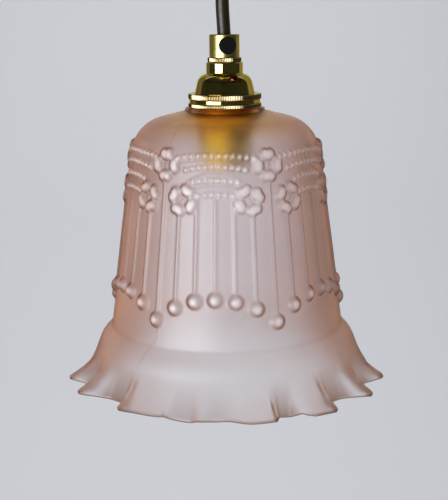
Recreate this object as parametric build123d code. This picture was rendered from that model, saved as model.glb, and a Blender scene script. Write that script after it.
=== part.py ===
from build123d import *
import os
from math import cos, sin, tan, pi, hypot, radians

# Pendant ceiling light: brass ceiling rose, short flex, bayonet lampholder and moulded glass shade.
# Millimetres. The origin is the middle of the ceiling face, with +Z up; everything hangs below it.
# A turn is an angle about Z in degrees: 0 faces -Y, and a positive turn goes towards +X.

# Flex
flex_radius = 3.4
flex_drop = 60.0
core_radius = 1.1
core_spread = 1.6
core_lead = 2.2
bend_share = 0.45
swing_limit = 30.0
bore_clearance = 0.2
joint_gap = 0.3

# Fits
fit_gap = 0.05
sheet = 0.9

# Cord grip with its nylon screw, the same piece at both ends of the flex
grip_radius = 7.65
grip_height = 11.4
grip_edge = 0.5
grip_screw_radius = 4.4
grip_screw_shank = 2.6
grip_screw_level = 5.4
grip_screw_turn = 13.5
grip_screw_reach = 7.35
grip_screw_head = 1.9
nipple_radius = 5.0
nipple_bore = 4.15
nipple_hold = 3.2
nut_flats = 13.0
nut_height = 2.2
lock_ring_radius = 8.6
lock_ring_height = 2.4
small_knurl_teeth = 48

# Ceiling rose
strap_half = 34.0
strap_width = 16.0
strap_sheet = 1.6
strap_bend = 1.2
strap_well = 18.0
strap_depth = 12.0
fixing_spacing = 51.0
fixing_radius = 2.3
cover_radius = 44.0
cover_height = 24.0
cover_rim = 2.4
cover_step = 4.0
cover_edge = 1.0
cover_fillet = 1.2
cover_shoulder = 31.0
cover_crown = 3.6
cover_round = 9.0
cover_mitre = 0.6
cover_boss = 11.0
boss_drop = 0.9
boss_round = 3.0
block_length = 9.0
block_width = 13.0
block_height = 7.5
block_edge = 0.8
block_way = 6.0
core_entry = 5.0
connector_screw_radius = 1.5
connector_screw_sink = 1.0
connector_screw_depth = 4.0
screw_slot = 0.6
earth_post_radius = 2.6
earth_post_height = 7.0
earth_post_out = 12.0

# Lampholder cap and rings
neck_radius = 9.35
neck_height = 5.9
neck_edge = 0.7
neck_fillet = 0.9
dome_shoulder = 13.2
dome_drop = 0.5
dome_round = 5.4
dome_base = 15.4
dome_height = 9.8
cap_lip = 0.75
cap_flange_out = 0.7
cap_flange_height = 0.85
knurled_radius = 18.7
knurl_depth = 0.35
knurl_teeth = 90
cap_ring_height = 2.85
earth_screw_level = 7.5
earth_screw_turn = 22.0
earth_screw_head = 2.2
earth_screw_shank = 1.5
earth_screw_proud = 0.9
earth_screw_sink = 0.3
earth_screw_length = 3.4
earth_screw_edge = 1.0

# Lampholder barrel, socket and contacts
flange_radius = 18.2
flange_height = 1.95
flange_edge = 0.3
barrel_radius = 14.0
barrel_length = 31.9
barrel_lip = 0.8
barrel_edge = 0.5
socket_radius = 11.2
socket_length = 14.0
socket_wall = 0.85
sleeve_top_height = 6.0
slot_width = 2.6
slot_rise = 7.0
slot_turn = 24.0
contact_block_height = 13.0
contact_spacing = 11.4
plunger_radius = 2.2
plunger_collar = 2.65
plunger_collar_height = 1.5
plunger_reach = 5.0
plunger_dome = 1.0
plunger_lip = 0.8
spring_wire = 0.3
spring_turns = 4
spring_room = 7.7
post_radius = 2.3
post_height = 4.0
post_screw_radius = 1.1
post_screw_length = 1.6

# Shade rings and washer
shade_ring_height = 2.1
lower_ring_height = 3.0
ring_gap = 0.3
washer_height = 1.0
washer_radius = 18.2
shade_play = 0.15

# Glass shade, depths counted down from the top of its collar
glass_wall = 3.0
fitter_radius = 14.6
collar_radius = 20.5
collar_height = 1.6
collar_edge = 0.7
collar_fillet = 0.8
seat_depth = 4.65
shoulder_radius = 46.4
shoulder_depth = 8.35
shoulder_round = 19.5
crease_radius = 60.9
crease_depth = 112.65
crease_fillet = 2.2
ledge_reach = 5.4
ledge_drop = 5.45
ledge_round = 14.0
ledge_height = 10.85
ledge_lean = 1.6
skirt_height = 15.6
skirt_flare = 12.3
rim_wall = 2.6

# Crimped skirt
flute_count = 16
flute_turn = 12.0
flute_reach = 4.6
flute_lift = 1.2
flute_fold = 0.2
flute_growth = 1.7
flare_start = 0.4
skirt_steps = 4
points_per_flute = 4

# Bead drops on the bell
drop_groups = 6
drops_per_group = 6
drop_turn = -35.6
drop_radius = 3.6
drop_height = 2.65
drop_edge = 0.4
drop_root = 2.0
drop_clearance = 13.6
drop_rise = 11.7
drop_bow = 2.2
stem_radius = 0.95
stem_depth = 39.0
long_stem_depth = 30.0

# Heights that follow from the sizes above
grip_bore = flex_radius / cos(radians(swing_limit)) + bore_clearance
rose_mouth = -(cover_height + lock_ring_height + grip_height)
holder_mouth = rose_mouth - flex_drop
cap_top = holder_mouth - grip_height - lock_ring_height
neck_end = cap_top - neck_height
cap_base = neck_end - dome_height
flange_top = cap_base - cap_ring_height
flange_end = flange_top - flange_height
barrel_end = flange_end - barrel_length
shade_seat = flange_end - shade_ring_height
glass_top = shade_seat - shade_play
cap_foot = cap_base - cap_lip - cap_flange_height
cap_flange_radius = dome_base + cap_flange_out
barrel_bore = barrel_radius - sheet
sleeve_end = barrel_end + barrel_lip + fit_gap
sleeve_step = sleeve_end + socket_length
block_seat = sleeve_step + sleeve_top_height
contact_top = block_seat + contact_block_height
post_foot = block_seat + plunger_lip + plunger_collar_height + spring_room
post_top = contact_top + post_height
block_top = block_height - strap_depth
drop_dome = drop_height - drop_edge
drop_dome_radius = (drop_radius ** 2 + drop_dome ** 2) / (2 * drop_dome)
ledge_radius = crease_radius + ledge_reach
skirt_radius = ledge_radius + ledge_lean
rim_radius = skirt_radius + skirt_flare
ledge_depth = crease_depth + ledge_drop
skirt_depth = crease_depth + ledge_height
drop_depth = crease_depth - drop_clearance


def turned(*corners):
    # A solid of revolution: each corner is a radius, a height and a fillet
    points = [(radius, height) for radius, height, fillet in corners]
    fillets = [fillet for radius, height, fillet in corners]
    outline = FilletPolyline(*points, radius=fillets, close=True)
    return revolve(Plane.XZ * make_face(outline), Axis.Z)


def tube(outer, inner, low, high):
    return turned((inner, low, 0), (outer, low, 0), (outer, high, 0), (inner, high, 0))


def rod(radius, low, high):
    return Pos(0, 0, low) * Cylinder(radius, high - low, align=(Align.CENTER, Align.CENTER, Align.MIN))


def outward(turn):
    return Vector(sin(radians(turn)), -cos(radians(turn)), 0)


def at(turn, radius, height):
    return outward(turn) * radius + Vector(0, 0, height)


def radial(turn, height):
    # A plane on the axis at this height, facing outward
    return Plane(origin=(0, 0, height), x_dir=(0, 0, 1), z_dir=outward(turn))


def knurled_ring(outer, inner, low, high, teeth):
    tips = []
    for tooth in range(teeth):
        for radius, share in ((outer, 0.0), (outer - knurl_depth, 0.5)):
            angle = 2 * pi * (tooth + share) / teeth
            tips.append((radius * cos(angle), radius * sin(angle)))
    star = extrude(make_face(Polyline(*tips, close=True)), high - low)
    return Pos(0, 0, low) * star - rod(inner, low, high)


def cord(points, radius):
    # A round cord along straight runs, each corner rounded as far as its shorter run allows
    corners = [Vector(*point) for point in points]
    fillets = []
    for before, corner, after in zip(corners, corners[1:], corners[2:]):
        turn = (corner - before).get_angle(after - corner)
        shorter = min((corner - before).length, (after - corner).length)
        fillets.append(bend_share * shorter / tan(radians(turn) / 2))
    path = FilletPolyline(*corners, radius=fillets)
    section = Plane(origin=path @ 0, z_dir=path % 0) * Circle(radius)
    return sweep(section, path=path)


def cord_grip():
    # Mouth at the origin, facing up
    nipple_top = nipple_hold - grip_height
    body = turned(
        (grip_bore, 0, 0), (grip_radius, 0, grip_edge), (grip_radius, -grip_height, 0),
        (nipple_radius + fit_gap, -grip_height, 0), (nipple_radius + fit_gap, nipple_top, 0),
        (grip_bore, nipple_top, 0))
    face = radial(grip_screw_turn, -grip_screw_level)
    head_seat = grip_screw_reach - grip_screw_head
    shank_hole = face * rod(grip_screw_shank + fit_gap, 0, grip_radius)
    head_hole = face * rod(grip_screw_radius + fit_gap, head_seat, grip_radius)
    return body - shank_hole - head_hole


def grip_screw():
    head_seat = grip_screw_reach - grip_screw_head
    tip = flex_radius + fit_gap
    screw = turned(
        (0, tip, 0), (grip_screw_shank, tip, 0), (grip_screw_shank, head_seat, 0),
        (grip_screw_radius, head_seat, 0), (grip_screw_radius, grip_screw_reach, grip_edge),
        (0, grip_screw_reach, 0))
    return radial(grip_screw_turn, -grip_screw_level) * screw


def nut(top):
    foot = top - nut_height
    hexagon = Pos(0, 0, foot) * RegularPolygon(nut_flats / 2, 6, major_radius=False)
    return extrude(hexagon, nut_height) - rod(nipple_radius + fit_gap, foot, top)


def flex_stub(low, high):
    # Flex held in a cord grip; the free flex turns in the cup at its mouth end, at the origin
    stub = rod(flex_radius, low, high)
    return stub - Sphere(flex_radius + joint_gap)


def hung(piece):
    # A cord grip piece turned mouth down under the rose
    return Pos(0, 0, rose_mouth) * Rot(0, 180, 0) * piece


def held(piece):
    # A cord grip piece on top of the lampholder
    return Pos(0, 0, holder_mouth) * piece


def ceiling_strap():
    inner, outer = strap_well, strap_well + strap_sheet
    low = -strap_depth - strap_sheet
    wide = strap_bend + strap_sheet
    half = [(strap_half, 0, 0), (strap_half, -strap_sheet, 0), (outer, -strap_sheet, strap_bend),
            (outer, low, wide)]
    well = [(inner, -strap_depth, strap_bend), (inner, 0, wide)]
    corners = half + [(-x, z, fillet) for x, z, fillet in reversed(half)]
    corners += [(-x, z, fillet) for x, z, fillet in reversed(well)] + well
    points = [(x, z) for x, z, fillet in corners]
    bends = [fillet for x, z, fillet in corners]
    outline = FilletPolyline(*points, radius=bends, close=True)
    strap = extrude(Plane.XZ * make_face(outline), strap_width / 2, both=True)
    strap -= rod(nipple_radius + fit_gap, low, 0)
    for side in (-1, 1):
        strap -= Pos(side * fixing_spacing / 2, 0, 0) * rod(fixing_radius, -strap_sheet, 0)
    return strap


def rose_cover():
    # A spun dish with a stepped rim and a flat boss where the lock ring bears
    crown = cover_crown - cover_height
    boss = boss_drop - cover_height
    neck = cover_boss - boss_drop
    wall = cover_radius - cover_step
    bore = nipple_radius + fit_gap
    shoulder = cover_shoulder - cover_mitre * sheet
    outer = [(cover_radius, 0, 0), (cover_radius, -cover_rim, cover_edge),
             (wall, -cover_rim - sheet, cover_fillet), (cover_shoulder, crown, cover_round),
             (cover_boss, boss, boss_round), (neck, -cover_height, 0)]
    inner = [(neck, boss + sheet, 0), (shoulder, crown + sheet, cover_round - sheet),
             (wall - sheet, -cover_rim, 0), (cover_radius - sheet, sheet - cover_rim, 0),
             (cover_radius - sheet, 0, 0)]
    return turned(*outer, (bore, -cover_height, 0), (bore, boss + sheet, 0), *inner)


def connector_block():
    # Two-way connector standing on the strap beside the nipple's nut
    middle = strap_well - fit_gap - strap_bend - block_length / 2
    block = Pos(middle, 0, block_height / 2 - strap_depth) * Box(block_length, block_width, block_height)
    block = fillet(block.edges().filter_by(Axis.Z), block_edge)
    way = Pos(middle - block_length / 2, 0, core_entry - strap_depth)
    wells = []
    for side in (-1, 0, 1):
        well = rod(connector_screw_radius + fit_gap, block_top - connector_screw_depth, block_top)
        wells.append(Pos(middle, side * block_way / 2, 0) * well)
    return block - wells, way, middle


def connector_screws(middle):
    top = block_top - connector_screw_sink
    slot = Pos(0, 0, top) * Box(screw_slot, 3 * connector_screw_radius, connector_screw_sink)
    screw = rod(connector_screw_radius, block_top - connector_screw_depth, top) - slot
    return Compound([Pos(middle, side * block_way / 2, 0) * screw for side in (-1, 0, 1)])


def flex():
    # Ball ends let the flex lean in the mouths of both cord grips
    side = Line((flex_radius, holder_mouth), (flex_radius, rose_mouth))
    top = CenterArc((0, rose_mouth), flex_radius, 0, 90)
    middle = Line((0, rose_mouth + flex_radius), (0, holder_mouth - flex_radius))
    bottom = CenterArc((0, holder_mouth), flex_radius, -90, 90)
    return revolve(Plane.XZ * make_face([side, top, middle, bottom]), Axis.Z)


def holder_cap():
    bore = nipple_radius + fit_gap
    throat = dome_base - sheet
    cap = turned(
        (bore, cap_top, 0), (neck_radius, cap_top, neck_edge), (neck_radius, neck_end, neck_fillet),
        (dome_shoulder, neck_end - dome_drop, dome_round), (dome_base, cap_base, 0),
        (dome_base, cap_base - cap_lip, 0), (cap_flange_radius, cap_base - cap_lip, 0),
        (cap_flange_radius, cap_foot, 0), (throat, cap_foot, 0), (throat, cap_base, 0),
        (dome_shoulder - sheet, neck_end - dome_drop - sheet, dome_round - sheet),
        (neck_radius - sheet, neck_end - sheet, 0), (neck_radius - sheet, cap_top - sheet, 0),
        (bore, cap_top - sheet, 0))
    hits = cap.find_intersection_points(Axis((0, 0, cap_top - earth_screw_level), outward(earth_screw_turn)))
    surface, normal = max(hits, key=lambda hit: hit[0].dot(outward(earth_screw_turn)))
    seat = Plane(origin=surface - normal * earth_screw_sink, z_dir=normal)
    spot = seat * rod(earth_screw_head + fit_gap, 0, dome_round)
    hole = seat * rod(earth_screw_shank + fit_gap, -earth_screw_length, 0)
    return cap - spot - hole, seat


def earth_screw(seat):
    top = earth_screw_proud + earth_screw_sink
    screw = turned(
        (0, -earth_screw_length, 0), (earth_screw_shank, -earth_screw_length, 0), (earth_screw_shank, 0, 0),
        (earth_screw_head, 0, 0), (earth_screw_head, top, earth_screw_edge), (0, top, 0))
    slot = Pos(0, 0, top) * Box(screw_slot, 3 * earth_screw_head, earth_screw_proud)
    return seat * (screw - slot)


def cap_ring():
    ring = knurled_ring(knurled_radius, dome_base + 2 * fit_gap, flange_top, cap_base, knurl_teeth)
    return ring - rod(cap_flange_radius + 2 * fit_gap, flange_top, cap_base - cap_lip)


def holder_barrel():
    collar = cap_flange_radius
    return turned(
        (barrel_bore, cap_foot, 0), (collar, cap_foot, 0), (collar, flange_top, 0),
        (flange_radius, flange_top, flange_edge), (flange_radius, flange_end, flange_edge),
        (barrel_radius, flange_end, 0), (barrel_radius, barrel_end, barrel_edge),
        (barrel_bore - barrel_lip, barrel_end, 0),
        (barrel_bore - barrel_lip, barrel_end + barrel_lip, 0), (barrel_bore, barrel_end + barrel_lip, 0))


def bayonet_sleeve():
    # The lamp's two pins rise up a straight slot, turn, and drop into a notch
    outer = barrel_bore - fit_gap
    sleeve = turned(
        (socket_radius, sleeve_end, 0), (socket_radius + socket_wall, sleeve_end, 0),
        (socket_radius + socket_wall, sleeve_step, 0), (outer, sleeve_step, 0), (outer, block_seat, 0),
        (outer - socket_wall, block_seat, 0), (outer - socket_wall, sleeve_step + socket_wall, 0),
        (socket_radius, sleeve_step + socket_wall, 0))
    reach = socket_radius + socket_wall / 2
    top = sleeve_end + slot_rise
    band = Plane.XZ * Pos(reach, top - slot_width / 2) * Rectangle(4 * socket_wall, slot_width)
    sweep_of_slot = revolve(band, Axis.Z, slot_turn)
    for side in (0, 180):
        rise = Pos(reach, 0, sleeve_end + slot_rise / 2) * Box(4 * socket_wall, slot_width, slot_rise)
        notch = Pos(reach, 0, top - slot_width) * Box(4 * socket_wall, slot_width, slot_width)
        sleeve -= Rot(0, 0, side) * (rise + sweep_of_slot + Rot(0, 0, slot_turn) * notch)
    return sleeve


def contact_places():
    return [Pos(side * contact_spacing / 2, 0, 0) for side in (-1, 1)]


def contact_block():
    bore = plunger_collar + fit_gap
    block = rod(barrel_bore - fit_gap, block_seat, contact_top)
    for place in contact_places():
        block -= place * rod(plunger_radius + fit_gap, block_seat, contact_top)
        block -= place * rod(bore, block_seat + plunger_lip, post_foot)
        block -= place * rod(post_radius + fit_gap, post_foot, contact_top)
    return block


def terminal_posts():
    entry = post_top - post_height / 2
    post = rod(post_radius, post_foot, post_top)
    hole = Pos(0, 0, entry) * Rot(90, 0, 0) * rod(post_screw_radius + fit_gap, 0, 2 * post_radius)
    return Compound([place * (post - hole) for place in contact_places()])


def terminal_screws():
    entry = post_top - post_height / 2
    head = Pos(0, 0, entry) * Rot(90, 0, 0) * rod(post_screw_radius, 0, post_radius + post_screw_length)
    return Compound([place * head for place in contact_places()])


def plunger():
    low = block_seat - plunger_reach
    foot = block_seat + plunger_lip
    return turned(
        (0, low, 0), (plunger_radius, low, plunger_dome), (plunger_radius, foot, 0),
        (plunger_collar, foot, 0), (plunger_collar, foot + plunger_collar_height, 0),
        (0, foot + plunger_collar_height, 0))


def plunger_spring():
    low = block_seat + plunger_lip + plunger_collar_height + spring_wire + fit_gap
    height = spring_room - 2 * (spring_wire + fit_gap)
    coil = plunger_collar - 2 * spring_wire
    path = Helix(pitch=height / spring_turns, height=height, radius=coil)
    start = Plane(origin=path @ 0, x_dir=(1, 0, 0), z_dir=path % 0)
    section = start * Rectangle(2 * spring_wire, 2 * spring_wire)
    return Pos(0, 0, low) * sweep(section, path=path, is_frenet=True)


def bell_radius(depth):
    # Outside of the bell's straight wall
    share = (depth - shoulder_depth) / (crease_depth - shoulder_depth)
    return shoulder_radius + (crease_radius - shoulder_radius) * share


def skirt_ring(share, inset):
    # One closed line round the crimped skirt, from its circle at the ledge (0) to its rim (1)
    flare = flare_start * share + (1 - flare_start) * share ** 2
    slope = (rim_radius - skirt_radius) * (flare_start + 2 * (1 - flare_start) * share)
    lean = hypot(slope, skirt_height)
    tuck = share * slope / lean
    radius = skirt_radius + (rim_radius - skirt_radius) * flare - inset * (1 - tuck ** 2) ** 0.5
    depth = skirt_depth + skirt_height * share + inset * tuck
    if share == 0:
        start = Plane(origin=(0, 0, glass_top - depth), x_dir=outward(flute_turn), z_dir=(0, 0, 1))
        return Wire([Edge.make_circle(radius, start)])
    points = []
    steps = flute_count * points_per_flute
    for step in range(steps):
        phase = 2 * pi * step / points_per_flute
        wave = (cos(phase) - flute_fold * cos(2 * phase)) * share ** flute_growth
        turn = flute_turn + 360 * step / steps
        points.append(at(turn, radius + flute_reach * wave, glass_top - depth + flute_lift * wave))
    knots = [step / steps for step in range(steps + 1)]
    return Wire([Edge.make_spline(points, periodic=True, parameters=knots)])


def crimped_skirt():
    shares = [step / skirt_steps for step in range(skirt_steps + 1)]
    outside = [skirt_ring(share, 0) for share in shares]
    inside = [skirt_ring(share, glass_wall + (rim_wall - glass_wall) * share) for share in shares]
    skins = [Shell.make_loft(outside), Shell.make_loft(inside)]
    skins.append(Shell.make_loft([outside[-1], inside[-1]], ruled=True))
    faces = [face for skin in skins for face in skin.faces()]
    return Solid(Shell(faces + [Face(outside[0], [inside[0]])]))


def bead():
    # One drop on the bell: a round root in the glass under a domed top
    side = Polyline((0, -drop_root), (drop_radius, -drop_root), (drop_radius, drop_edge))
    top = RadiusArc((drop_radius, drop_edge), (0, drop_height), -drop_dome_radius)
    return revolve(Plane.XZ * make_face([side, top, Line((0, drop_height), (0, -drop_root))]), Axis.Z)


def bead_drops():
    # Stems in six swags of drops; the stem at each meeting of two swags is the longest
    pieces = []
    step = 360 / (drop_groups * drops_per_group)
    for drop in range(drop_groups * drops_per_group):
        place = drop % drops_per_group
        from_long = min(place, drops_per_group - place) / (drops_per_group / 2)
        depth = drop_depth - drop_rise * (1 - (1 - from_long) ** drop_bow)
        top_depth = long_stem_depth if place == 0 else stem_depth
        top = at(0, bell_radius(top_depth), glass_top - top_depth)
        low = at(0, bell_radius(depth), glass_top - depth)
        down = Plane(origin=top, x_dir=-outward(0), z_dir=low - top)
        stem = down * rod(stem_radius, 0, (low - top).length)
        ball = Plane(origin=low, x_dir=down.z_dir, z_dir=-down.x_dir) * bead()
        pieces.append(Rot(0, 0, drop_turn + drop * step) * (stem + ball))
    return pieces


def glass_shade():
    def down(radius, depth, fillet=0):
        return (radius, glass_top - depth, fillet)

    bell = turned(
        down(0, 0), down(collar_radius, 0, collar_edge), down(collar_radius, collar_height, collar_fillet),
        down(shoulder_radius, shoulder_depth, shoulder_round),
        down(crease_radius, crease_depth, crease_fillet),
        down(ledge_radius, ledge_depth, ledge_round), down(skirt_radius, skirt_depth),
        down(0, skirt_depth))
    inner_shoulder = shoulder_depth + glass_wall
    inner_crease = crease_depth + glass_wall / 2
    hollow = turned(
        down(0, seat_depth), down(collar_radius, seat_depth),
        down(bell_radius(inner_shoulder) - glass_wall, inner_shoulder, shoulder_round - glass_wall),
        down(crease_radius - glass_wall, inner_crease),
        down(ledge_radius - glass_wall, ledge_depth + glass_wall / 2),
        down(skirt_radius - glass_wall, skirt_depth), down(0, skirt_depth))
    bell = bell.fuse(*bead_drops())
    bell = bell - hollow - rod(fitter_radius, glass_top - seat_depth, glass_top)
    return bell + crimped_skirt()


def shade_washer():
    top = glass_top - seat_depth
    return tube(washer_radius, barrel_radius + ring_gap + fit_gap, top - washer_height, top)


def lower_shade_ring():
    top = glass_top - seat_depth - washer_height
    return knurled_ring(knurled_radius, barrel_radius + ring_gap, top - lower_ring_height, top, knurl_teeth)


def rose_cores(entry):
    start = -strap_depth - strap_sheet
    level = entry.position.Z
    cores = {}
    for name, side in (("live", 1), ("neutral", -1)):
        x, y = core_spread / 2, side * core_spread * sin(radians(60))
        end = Vector(entry.position.X, side * block_way / 2, level)
        cores[name] = [(x, y, start), (x, y, level), end - Vector(core_lead, 0, 0), end]
    post_side = earth_post_radius - earth_post_out
    cores["earth"] = [(-core_spread, 0, start), (-core_spread, 0, level), (post_side, 0, level)]
    return cores


def holder_cores(start, seat):
    cores = {}
    for name, side in (("live", 1), ("neutral", -1)):
        x, y = side * core_spread * cos(radians(30)), core_spread / 2
        end = Vector(side * contact_spacing / 2, 0, post_top)
        cores[name] = [(x, y, start), (x, y, start - core_lead), end + Vector(0, 0, core_lead), end]
    tail = seat.origin - seat.z_dir * earth_screw_length
    reach = Vector(tail.X, tail.Y, 0).length - earth_screw_shank
    level = tail.Z
    cores["earth"] = [at(earth_screw_turn, core_spread, start), at(earth_screw_turn, core_spread, level),
                      at(earth_screw_turn, reach, level)]
    return cores


block, block_entry, block_middle = connector_block()
cap, earth_seat = holder_cap()
sheath_end = cap_top - 2 * nut_height
rose_nipple_top = -strap_depth + nut_height + sheet
grip_depth = grip_height - nipple_hold

pieces = {
    "ceiling_strap": ceiling_strap(),
    "rose_cover": rose_cover(),
    "rose_nipple": tube(nipple_radius, nipple_bore, rose_mouth + grip_depth, rose_nipple_top),
    "rose_nipple_nut": nut(-strap_depth + nut_height),
    "rose_lock_ring": knurled_ring(lock_ring_radius, nipple_radius + fit_gap, rose_mouth + grip_height,
                                   -cover_height, small_knurl_teeth),
    "rose_cord_grip": hung(cord_grip()),
    "rose_grip_screw": hung(grip_screw()),
    "rose_connector_block": block,
    "rose_connector_screws": connector_screws(block_middle),
    "strap_earth_post": Pos(-earth_post_out, 0, -strap_depth) * rod(earth_post_radius, 0, earth_post_height),
    "rose_flex_tail": hung(flex_stub(strap_depth + strap_sheet + rose_mouth, 0)),
    "flex": flex(),
    "holder_cord_grip": held(cord_grip()),
    "holder_grip_screw": held(grip_screw()),
    "holder_lock_ring": knurled_ring(lock_ring_radius, nipple_radius + fit_gap, cap_top,
                                     holder_mouth - grip_height, small_knurl_teeth),
    "holder_nipple": tube(nipple_radius, nipple_bore, cap_top - sheet - nut_height,
                          holder_mouth - grip_depth),
    "holder_nipple_nut": nut(cap_top - sheet),
    "holder_flex_tail": held(flex_stub(sheath_end - holder_mouth, 0)),
    "holder_cap": cap,
    "cap_earth_screw": earth_screw(earth_seat),
    "cap_ring": cap_ring(),
    "holder_barrel": holder_barrel(),
    "upper_shade_ring": knurled_ring(knurled_radius, barrel_radius + fit_gap, shade_seat, flange_end,
                                     knurl_teeth),
    "bayonet_sleeve": bayonet_sleeve(),
    "contact_block": contact_block(),
    "terminal_posts": terminal_posts(),
    "terminal_screws": terminal_screws(),
    "glass_shade": glass_shade(),
    "shade_washer": shade_washer(),
    "lower_shade_ring": lower_shade_ring(),
}
for name, points in rose_cores(block_entry).items():
    pieces["rose_" + name + "_core"] = cord(points, core_radius)
for name, points in holder_cores(sheath_end, earth_seat).items():
    pieces["holder_" + name + "_core"] = cord(points, core_radius)
for side, place in zip(("left", "right"), contact_places()):
    pieces["contact_plunger_" + side] = place * plunger()
    pieces["plunger_spring_" + side] = place * plunger_spring()

os.makedirs("parts", exist_ok=True)
for name, piece in pieces.items():
    export_step(piece, "parts/" + name + ".step")
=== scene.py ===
import math
import bpy
import numpy as np
from mathutils import Matrix, Vector


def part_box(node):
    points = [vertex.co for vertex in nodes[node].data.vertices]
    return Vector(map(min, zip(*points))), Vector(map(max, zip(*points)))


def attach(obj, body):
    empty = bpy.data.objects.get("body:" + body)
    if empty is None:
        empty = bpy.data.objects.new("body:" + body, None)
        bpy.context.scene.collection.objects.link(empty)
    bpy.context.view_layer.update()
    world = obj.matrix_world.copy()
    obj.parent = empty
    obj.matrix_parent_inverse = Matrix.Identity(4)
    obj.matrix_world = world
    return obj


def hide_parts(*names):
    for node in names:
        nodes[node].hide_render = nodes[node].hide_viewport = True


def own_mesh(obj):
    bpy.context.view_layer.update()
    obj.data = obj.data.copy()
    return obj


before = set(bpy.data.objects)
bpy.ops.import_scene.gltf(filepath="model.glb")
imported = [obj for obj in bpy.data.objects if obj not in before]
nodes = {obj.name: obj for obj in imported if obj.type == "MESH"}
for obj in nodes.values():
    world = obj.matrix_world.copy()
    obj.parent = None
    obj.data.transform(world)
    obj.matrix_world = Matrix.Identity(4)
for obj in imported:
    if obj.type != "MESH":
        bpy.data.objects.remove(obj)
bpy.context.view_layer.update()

mm = 0.001
print("frame loaded:", len(nodes), "nodes")

# Camera, at the photograph's angle and focal length
camera = {
    "place": (0.0, -0.5538, -0.0875),
    "pitch": 12.43,      # degrees below level
    "roll": -0.52,       # degrees
    "lens": 77.29, "sensor": 36.0,  # mm
    "shift": -0.0044,
    "near": 0.01,
}


def makeCamera():
    data = bpy.data.cameras.new("photoCamera")
    data.lens = camera["lens"]
    data.sensor_width = camera["sensor"]
    data.shift_x = camera["shift"]
    data.clip_start = camera["near"]
    obj = bpy.data.objects.new("photoCamera", data)
    bpy.context.scene.collection.objects.link(obj)
    tilt = Matrix.Rotation(math.radians(90 - camera["pitch"]), 3, "X")
    roll = Matrix.Rotation(math.radians(camera["roll"]), 3, "Z")
    obj.location = camera["place"]
    obj.rotation_euler = (tilt @ roll).to_euler()
    bpy.context.scene.camera = obj


# Backdrop, lights, and the dark cloths that brass and glass need around them
studio = {
    "floor": -1.3, "wall": 1.7, "sweep": 0.8, "half": 7.0, "top": 2.6,  # the backdrop, in metres
    "sweepSteps": 24,
    "paper": (0.69, 0.695, 0.715), "paperRough": 0.9,
    "world": (0.78, 0.79, 0.82), "ambient": 0.45, "seen": 1.0,  # strength as light, and as seen
    "aim": (0.0, 0.0, -0.20),
    "lights": [  # name, place, size across and up, watts, colour
        ("windowLeft", (-0.82, -1.08, -0.30), 1.15, 0.80, 25.0, (0.92, 0.95, 1.0)),
        ("fillRight", (1.3, -0.9, 0.1), 0.5, 1.0, 1.5, (1.0, 0.97, 0.93)),
        ("topSoft", (0.1, -0.2, 0.95), 0.9, 0.9, 3.5, (1.0, 1.0, 1.0)),
        ("wallWashLeft", (-0.6, 0.55, 0.9), 1.0, 0.5, 9.0, (0.97, 0.985, 1.0)),
        ("wallWashRight", (0.6, 0.55, 0.9), 1.0, 0.5, 8.0, (1.0, 0.97, 0.935)),
    ],
    "mirrored": ("windowLeft",),             # the one lamp that shows in polished faces
    "cloth": (0.040, 0.042, 0.026), "clothRough": 1.0,
    "clothRadius": 1.6, "clothLow": -0.9, "clothHigh": 1.1,
    "clothTurns": (-110, 110), "clothSteps": 40,  # round the front
    "sideTurns": (22, 92), "sideSteps": 24,  # a dark corner at the right
    "cards": {-1: (0.20, 0.18, 0.15), 1: (0.35, 0.31, 0.23)},  # behind, to left and right
    "cardRadius": 1.3, "cardTurns": (108, 152), "cardLow": -1.2, "cardHigh": 1.0,
}


def plainMaterial(name, colour, rough):
    made = bpy.data.materials.new(name)
    made.use_nodes = True
    shader = made.node_tree.nodes["Principled BSDF"]
    shader.inputs["Base Color"].default_value = (*colour, 1)
    shader.inputs["Roughness"].default_value = rough
    return made


def stagePiece(name, points, faces, material, seenBy=()):
    mesh = bpy.data.meshes.new(name)
    mesh.from_pydata(points, [], faces)
    mesh.polygons.foreach_set("use_smooth", [True] * len(faces))
    mesh.materials.append(material)
    obj = bpy.data.objects.new(name, mesh)
    bpy.context.scene.collection.objects.link(obj)
    if seenBy:
        for ray in ("camera", "diffuse", "glossy", "transmission", "volume_scatter", "shadow"):
            setattr(obj, "visible_" + ray, ray in seenBy)


def makeBackdrop():
    s = studio
    line = [(-s["half"], s["floor"]), (s["wall"] - s["sweep"], s["floor"])]
    for step in range(1, s["sweepSteps"] + 1):
        angle = math.pi / 2 * step / s["sweepSteps"]
        line.append((s["wall"] - s["sweep"] + s["sweep"] * math.sin(angle),
                     s["floor"] + s["sweep"] * (1 - math.cos(angle))))
    line.append((s["wall"], s["top"]))
    points = [(side * s["half"], y, z) for y, z in line for side in (-1, 1)]
    faces = [(2 * i, 2 * i + 1, 2 * i + 3, 2 * i + 2) for i in range(len(line) - 1)]
    paper = plainMaterial("backdropPaper", s["paper"], s["paperRough"])
    stagePiece("backdrop", points, faces, paper)


def curvedCloth(radius, turns, low, high, steps):
    points = []
    for turn in np.radians(np.linspace(*turns, steps + 1)):
        points += [(radius * math.sin(turn), -radius * math.cos(turn), height) for height in (low, high)]
    faces = [(2 * i, 2 * i + 1, 2 * i + 3, 2 * i + 2) for i in range(steps)]
    return points, faces


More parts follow.
